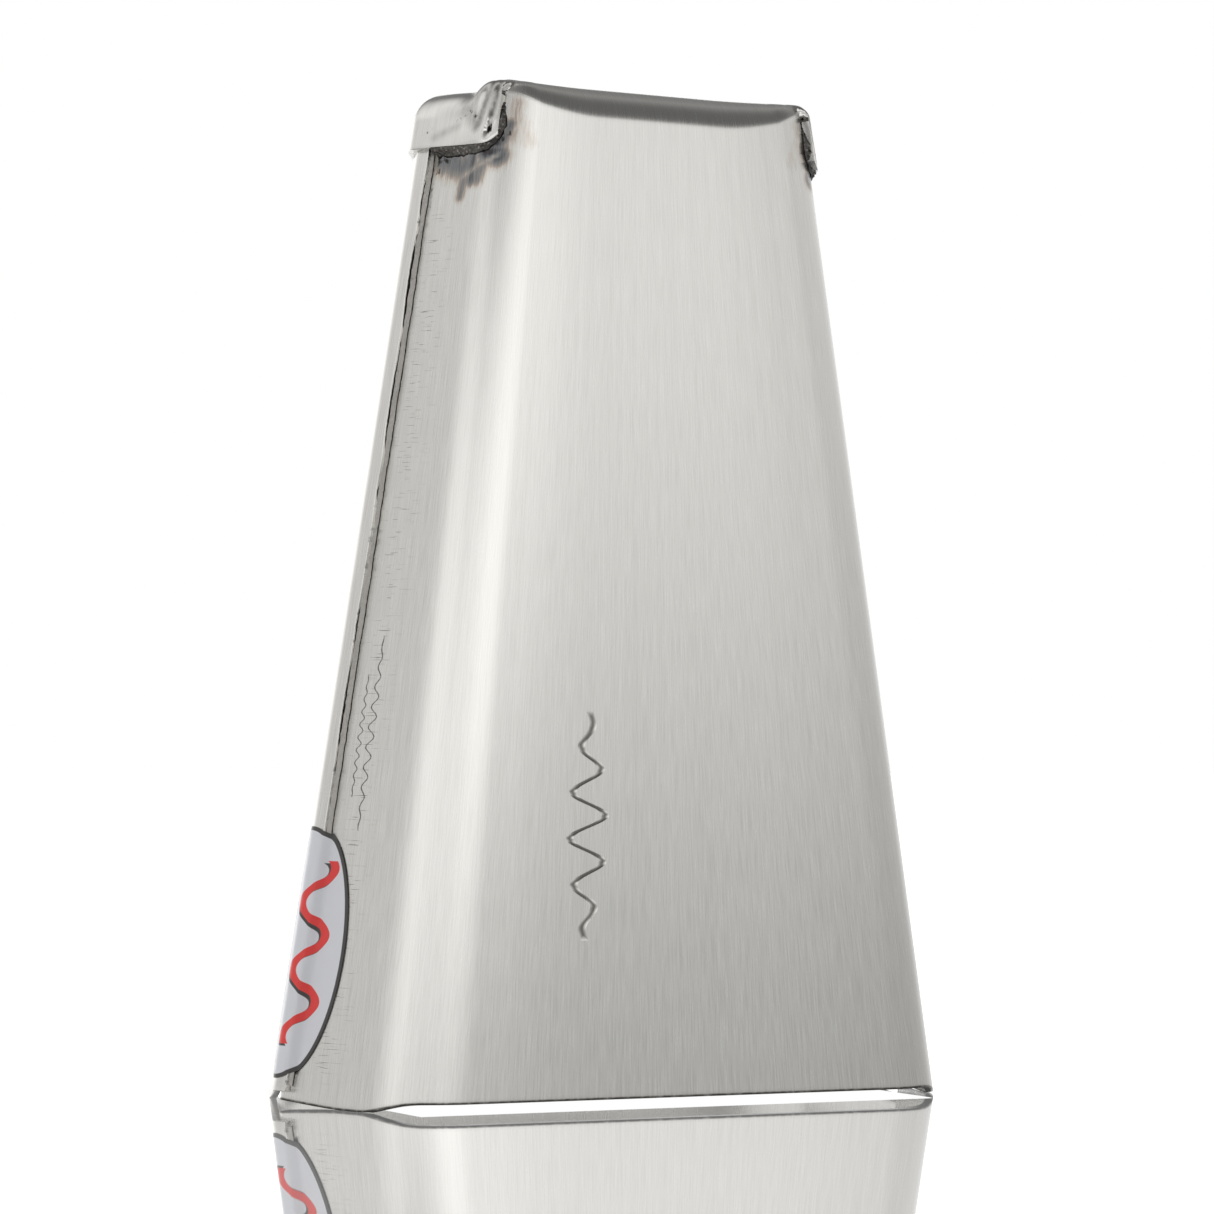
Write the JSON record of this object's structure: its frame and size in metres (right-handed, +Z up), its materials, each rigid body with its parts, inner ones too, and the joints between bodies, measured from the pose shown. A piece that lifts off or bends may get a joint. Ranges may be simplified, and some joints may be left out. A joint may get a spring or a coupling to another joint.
{
  "type": "cowbell",
  "caption": "Hand-held sheet-steel cowbell that tapers from an open mouth to a closed, folded crown, with welded lap seams down its sides and an oval label.",
  "frame": {"origin": "middle of the mouth, on the surface the bell stands on", "axes": "+Z up from the mouth to the crown, front face towards -Y, side seams at +X and -X"},
  "size_m": [0.153, 0.0698, 0.21],
  "materials": {
    "steel_sheet": "brushed up and down",
    "weld_metal": "as welded, dark",
    "label_film": "satin printed film"
  },
  "bodies": {
    "root": {"front_shell": "steel_sheet", "rear_shell": "steel_sheet", "left_seam_weld": "weld_metal", "right_seam_weld": "weld_metal", "left_flap_weld": "weld_metal", "right_flap_weld": "weld_metal", "rear_flap_weld": "weld_metal", "side_label": "label_film"}
  },
  "joints": []
}
